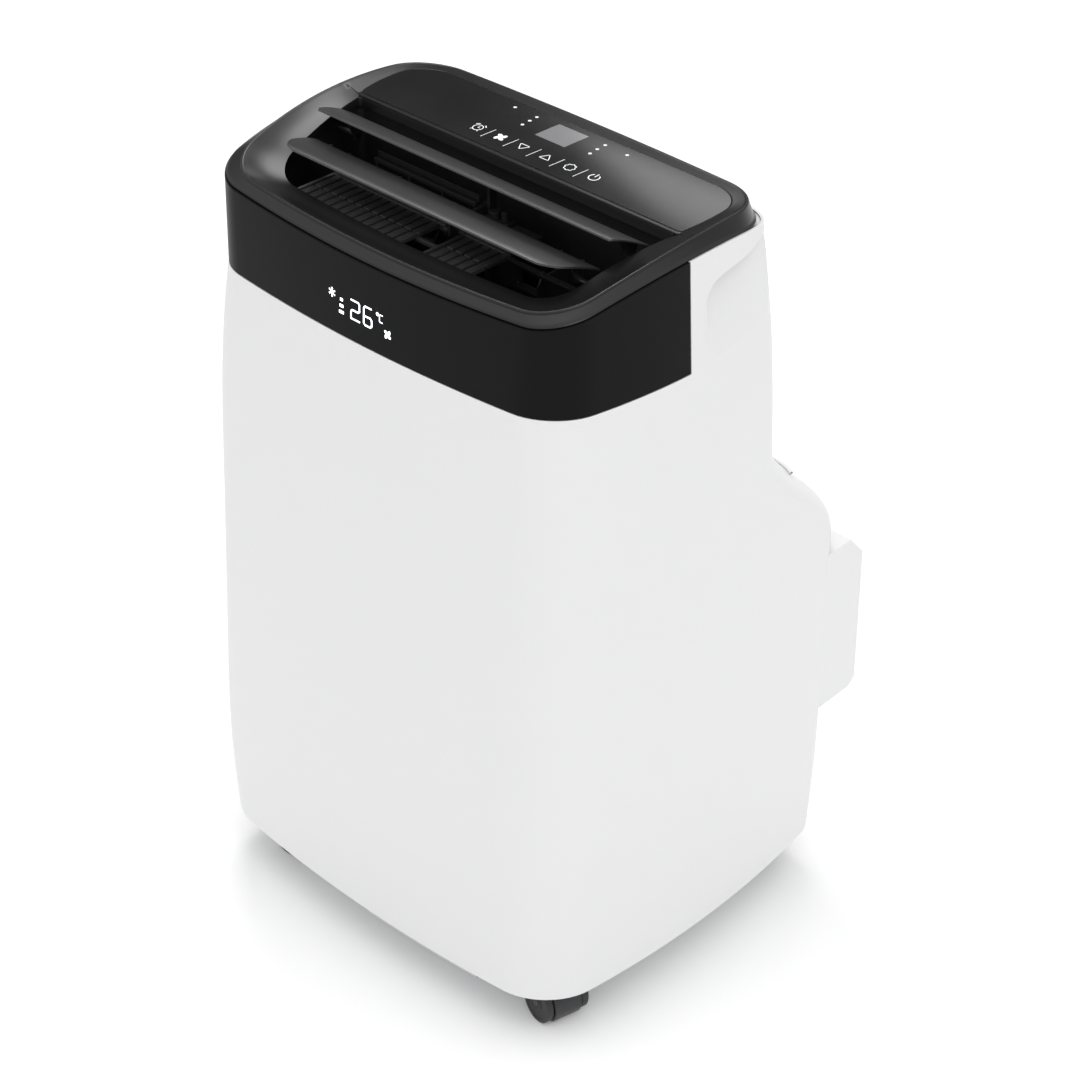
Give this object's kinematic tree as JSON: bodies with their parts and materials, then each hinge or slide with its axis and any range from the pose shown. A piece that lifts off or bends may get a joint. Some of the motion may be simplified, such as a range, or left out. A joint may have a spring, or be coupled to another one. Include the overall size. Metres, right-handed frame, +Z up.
{
  "type": "portable air conditioner",
  "caption": "Upright room air conditioner on swivel casters with tilting top louvres, swinging vanes, touch panel, side hand grips and a rear exhaust housing.",
  "frame": {"origin": "on the floor under the middle of the whole object's box, casters included", "axes": "+Z up, the display and outlet side towards -Y, the exhaust towards +Y, +X to the right of someone standing in front of the unit and facing it"},
  "size_m": [0.4646, 0.4302, 0.7452],
  "materials": {
    "white_plastic": "fine satin moulding",
    "black_plastic": "fine grain moulding",
    "satin_black": "smooth satin",
    "grey_plastic": "plain moulding",
    "panel_gloss": "polished black with white touch symbols",
    "display_window": "grey tinted window",
    "circuit_board": "green board",
    "coil_aluminium": "finned block",
    "motor_steel": "plain",
    "compressor_paint": "black enamel",
    "copper": "drawn copper tube",
    "rubber_black": "soft moulded rubber",
    "wheel_black": "hard rubber tyre"
  },
  "bodies": {
    "main_unit": {"right_hand_grip": "white_plastic", "left_hand_grip": "white_plastic", "cabinet": "white_plastic", "rear_upper_panel": "white_plastic", "rear_lower_panel": "white_plastic", "exhaust_housing": "white_plastic", "exhaust_collar": "white_plastic", "display_band": "black_plastic", "top_frame": "black_plastic", "air_duct": "black_plastic", "blower_scroll": "black_plastic", "outlet_grille": "satin_black", "base_pan": "grey_plastic", "partition_deck": "grey_plastic", "condenser_scroll": "grey_plastic", "exhaust_duct": "grey_plastic", "electronics_box": "grey_plastic", "louvre_motor": "grey_plastic", "touch_panel": "panel_gloss", "panel_display_window": "display_window", "control_board": "circuit_board", "front_display_board": "circuit_board", "evaporator_coil": "coil_aluminium", "condenser_coil": "coil_aluminium", "blower_motor": "motor_steel", "condenser_motor": "motor_steel", "compressor": "compressor_paint", "refrigerant_pipe": "copper", "cord_gland": "rubber_black"},
    "front_louvre": {"louvre_front": "satin_black"},
    "rear_louvre": {"louvre_rear": "satin_black"},
    "louvre_bar": {"louvre_link": "satin_black"},
    "tie_bar": {"vane_tie_bar": "satin_black"},
    "blower": {"blower_wheel": "black_plastic"},
    "condenser_wheel": {"condenser_fan": "black_plastic"},
    "upper_intake": {"upper_intake_grille": "white_plastic", "upper_filter": "grey_plastic"},
    "lower_intake": {"lower_intake_grille": "white_plastic", "lower_filter": "grey_plastic"},
    "upper_plug": {"upper_drain_plug": "rubber_black"},
    "lower_plug": {"lower_drain_plug": "rubber_black"},
    "vane_body_1": {"vane_1": "satin_black"},
    "vane_body_2": {"vane_2": "satin_black"},
    "vane_body_3": {"vane_3": "satin_black"},
    "vane_body_4": {"vane_4": "satin_black"},
    "vane_body_5": {"vane_5": "satin_black"},
    "vane_body_6": {"vane_6": "satin_black"},
    "caster_front_right": {"caster_hood_front_right": "black_plastic"},
    "wheels_front_right": {"wheel_outer_front_right": "wheel_black", "wheel_inner_front_right": "wheel_black"},
    "caster_front_left": {"caster_hood_front_left": "black_plastic"},
    "wheels_front_left": {"wheel_outer_front_left": "wheel_black", "wheel_inner_front_left": "wheel_black"},
    "caster_rear_right": {"caster_hood_rear_right": "black_plastic"},
    "wheels_rear_right": {"wheel_outer_rear_right": "wheel_black", "wheel_inner_rear_right": "wheel_black"},
    "caster_rear_left": {"caster_hood_rear_left": "black_plastic"},
    "wheels_rear_left": {"wheel_outer_rear_left": "wheel_black", "wheel_inner_rear_left": "wheel_black"}
  },
  "joints": [
    {"name": "louvre_front_tilt", "type": "hinge", "parent": "main_unit", "child": "front_louvre", "pos_m": [0, -0.093, 0.706], "axis": [1, 0, 0], "range_deg": [-12, 31]},
    {"name": "louvre_rear_tilt", "type": "hinge", "parent": "main_unit", "child": "rear_louvre", "pos_m": [0, -0.048, 0.712], "axis": [1, 0, 0], "range_deg": [-12, 31]},
    {"name": "louvre_bar_pivot", "type": "hinge", "parent": "front_louvre", "child": "louvre_bar", "pos_m": [0, -0.093, 0.696], "axis": [1, 0, 0], "range_deg": [-31, 12]},
    {"name": "vane_1_swing", "type": "hinge", "parent": "main_unit", "child": "vane_body_1", "pos_m": [-0.15, -0.044, 0.657], "axis": [0, 0, 1], "range_deg": [-30, 30]},
    {"name": "vane_2_swing", "type": "hinge", "parent": "main_unit", "child": "vane_body_2", "pos_m": [-0.09, -0.044, 0.657], "axis": [0, 0, 1], "range_deg": [-30, 30]},
    {"name": "vane_3_swing", "type": "hinge", "parent": "main_unit", "child": "vane_body_3", "pos_m": [-0.03, -0.044, 0.657], "axis": [0, 0, 1], "range_deg": [-30, 30]},
    {"name": "vane_4_swing", "type": "hinge", "parent": "main_unit", "child": "vane_body_4", "pos_m": [0.03, -0.044, 0.657], "axis": [0, 0, 1], "range_deg": [-30, 30]},
    {"name": "vane_5_swing", "type": "hinge", "parent": "main_unit", "child": "vane_body_5", "pos_m": [0.09, -0.044, 0.657], "axis": [0, 0, 1], "range_deg": [-30, 30]},
    {"name": "vane_6_swing", "type": "hinge", "parent": "main_unit", "child": "vane_body_6", "pos_m": [0.15, -0.044, 0.657], "axis": [0, 0, 1], "range_deg": [-30, 30]},
    {"name": "tie_bar_pivot", "type": "hinge", "parent": "vane_body_1", "child": "tie_bar", "pos_m": [-0.15, -0.076, 0.682], "axis": [0, 0, 1], "range_deg": [-30, 30]},
    {"name": "blower_spin", "type": "hinge", "parent": "main_unit", "child": "blower", "pos_m": [0, -0.04, 0.51], "axis": [0, 1, 0], "continuous": true},
    {"name": "condenser_fan_spin", "type": "hinge", "parent": "main_unit", "child": "condenser_wheel", "pos_m": [0, 0.05, 0.165], "axis": [0, 1, 0], "continuous": true},
    {"name": "caster_swivel_front_right", "type": "hinge", "parent": "main_unit", "child": "caster_front_right", "pos_m": [0.167, -0.145, 0.055], "axis": [0, 0, 1], "continuous": true},
    {"name": "wheel_roll_front_right", "type": "hinge", "parent": "caster_front_right", "child": "wheels_front_right", "pos_m": [0.17972, -0.1477, 0.01962], "axis": [0.2079, 0.9781, 0], "continuous": true},
    {"name": "caster_swivel_front_left", "type": "hinge", "parent": "main_unit", "child": "caster_front_left", "pos_m": [-0.172, -0.148, 0.055], "axis": [0, 0, 1], "continuous": true},
    {"name": "wheel_roll_front_left", "type": "hinge", "parent": "caster_front_left", "child": "wheels_front_left", "pos_m": [-0.159, -0.148, 0.01962], "axis": [0, 1, 0], "continuous": true},
    {"name": "caster_swivel_rear_right", "type": "hinge", "parent": "main_unit", "child": "caster_rear_right", "pos_m": [0.14, 0.138, 0.055], "axis": [0, 0, 1], "continuous": true},
    {"name": "wheel_roll_rear_right", "type": "hinge", "parent": "caster_rear_right", "child": "wheels_rear_right", "pos_m": [0.15293, 0.13664, 0.01962], "axis": [0.1045, 0.9945, 0], "continuous": true},
    {"name": "caster_swivel_rear_left", "type": "hinge", "parent": "main_unit", "child": "caster_rear_left", "pos_m": [-0.145, 0.138, 0.055], "axis": [0, 0, 1], "continuous": true},
    {"name": "wheel_roll_rear_left", "type": "hinge", "parent": "caster_rear_left", "child": "wheels_rear_left", "pos_m": [-0.13207, 0.13936, 0.01962], "axis": [-0.1045, 0.9945, 0], "continuous": true},
    {"name": "upper_intake_pull", "type": "slide", "parent": "main_unit", "child": "upper_intake", "axis": [0, 1, 0], "range_m": [0, 0.04]},
    {"name": "lower_intake_pull", "type": "slide", "parent": "main_unit", "child": "lower_intake", "axis": [0, 1, 0], "range_m": [0, 0.04]},
    {"name": "upper_drain_plug_pull", "type": "slide", "parent": "main_unit", "child": "upper_plug", "axis": [0, 1, 0], "range_m": [0, 0.02]},
    {"name": "lower_drain_plug_pull", "type": "slide", "parent": "main_unit", "child": "lower_plug", "axis": [0, 1, 0], "range_m": [0, 0.02]}
  ],
  "couplings": [
    {"joint": "louvre_rear_tilt", "follows": "louvre_front_tilt", "ratio": 1},
    {"joint": "louvre_bar_pivot", "follows": "louvre_front_tilt", "ratio": -1},
    {"joint": "vane_2_swing", "follows": "vane_1_swing", "ratio": 1},
    {"joint": "vane_3_swing", "follows": "vane_1_swing", "ratio": 1},
    {"joint": "vane_4_swing", "follows": "vane_1_swing", "ratio": 1},
    {"joint": "vane_5_swing", "follows": "vane_1_swing", "ratio": 1},
    {"joint": "vane_6_swing", "follows": "vane_1_swing", "ratio": 1},
    {"joint": "tie_bar_pivot", "follows": "vane_1_swing", "ratio": -1}
  ]
}
